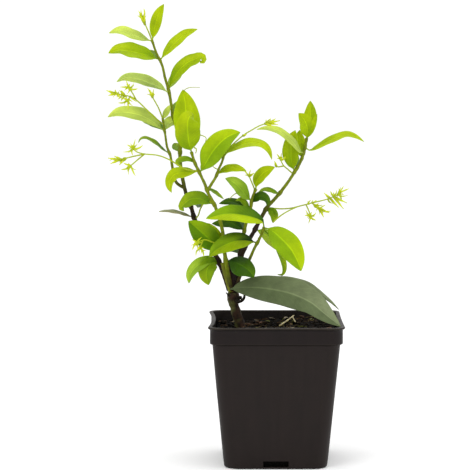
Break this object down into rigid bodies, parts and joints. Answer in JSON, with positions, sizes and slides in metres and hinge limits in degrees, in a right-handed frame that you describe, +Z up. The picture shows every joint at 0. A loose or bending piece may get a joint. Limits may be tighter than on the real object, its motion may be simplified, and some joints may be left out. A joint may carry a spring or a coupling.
{
  "type": "potted climbing plant",
  "caption": "Young star jasmine with leafy twining shoots and small flower sprays, growing in a square nursery pot of soil.",
  "frame": {"origin": "centre of the pot's foot, on the surface that the pot stands on", "axes": "+Z up, -Y towards the pot's front, where the plant's flatter side faces, +X to the right seen from the front"},
  "size_m": [0.1749, 0.0924, 0.3096],
  "materials": {
    "pot_plastic": "satin dark brown-black thin plastic",
    "soil": "rough dark peat with fibres and bark crumbs",
    "bark": "rough brown bark",
    "leaf_green": "smooth leathery leaf, lime when young and deep green when older",
    "old_leaf_green": "dull grey-green old leaf",
    "flower_green": "soft yellow-green petals and buds",
    "straw": "dry pale straw"
  },
  "bodies": {
    "root": {"pot": "pot_plastic", "soil": "soil", "trunk": "bark", "shoot_tall": "leaf_green", "shoot_front": "leaf_green", "shoot_right": "leaf_green", "shoot_middle": "leaf_green", "shoot_low": "leaf_green", "old_leaf_front": "old_leaf_green", "old_leaf_back": "old_leaf_green", "spray_top": "flower_green", "spray_upper_left": "flower_green", "spray_small_left": "flower_green", "spray_middle_left": "flower_green", "spray_lower_left": "flower_green", "spray_centre": "flower_green", "spray_small_centre": "flower_green", "spray_right_top": "flower_green", "spray_right": "flower_green", "straw": "straw"}
  },
  "joints": []
}
